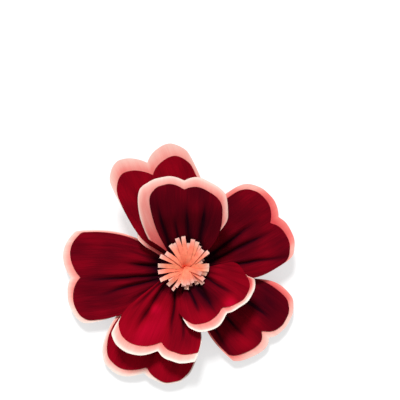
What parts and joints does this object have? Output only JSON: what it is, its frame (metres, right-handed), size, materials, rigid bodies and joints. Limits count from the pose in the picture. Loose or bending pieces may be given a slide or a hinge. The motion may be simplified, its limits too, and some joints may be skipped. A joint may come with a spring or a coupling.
{
  "type": "crepe paper peony",
  "caption": "Crepe paper flower head with two layers of two-ply notched petals, deep red over pale pink, gathered round a coral fringed centre.",
  "frame": {"origin": "on the flower's axis, at the centre of the flat underside of the taped neck", "axes": "+Z out of the flower's face along its axis, +X and +Y across the flower, with the tallest petal towards +Y"},
  "size_m": [0.1712, 0.1767, 0.0515],
  "materials": {
    "red_crepe": "matte",
    "pink_crepe": "matte",
    "coral_crepe": "matte",
    "floral_tape": "matte",
    "binding_wire": "satin"
  },
  "bodies": {
    "root": {"neck_tape": "floral_tape", "binding_wire": "binding_wire", "fringed_centre": "coral_crepe", "outer_petal_left_facing": "red_crepe", "outer_petal_left_backing": "pink_crepe", "outer_petal_bottom_facing": "red_crepe", "outer_petal_bottom_backing": "pink_crepe", "outer_petal_lower_right_facing": "red_crepe", "outer_petal_lower_right_backing": "pink_crepe", "outer_petal_right_facing": "red_crepe", "outer_petal_right_backing": "pink_crepe", "outer_petal_top_left_facing": "red_crepe", "outer_petal_top_left_backing": "pink_crepe", "inner_petal_bottom_facing": "red_crepe", "inner_petal_bottom_backing": "pink_crepe", "inner_petal_lower_right_facing": "red_crepe", "inner_petal_lower_right_backing": "pink_crepe", "inner_petal_top_facing": "red_crepe", "inner_petal_top_backing": "pink_crepe"}
  },
  "joints": []
}
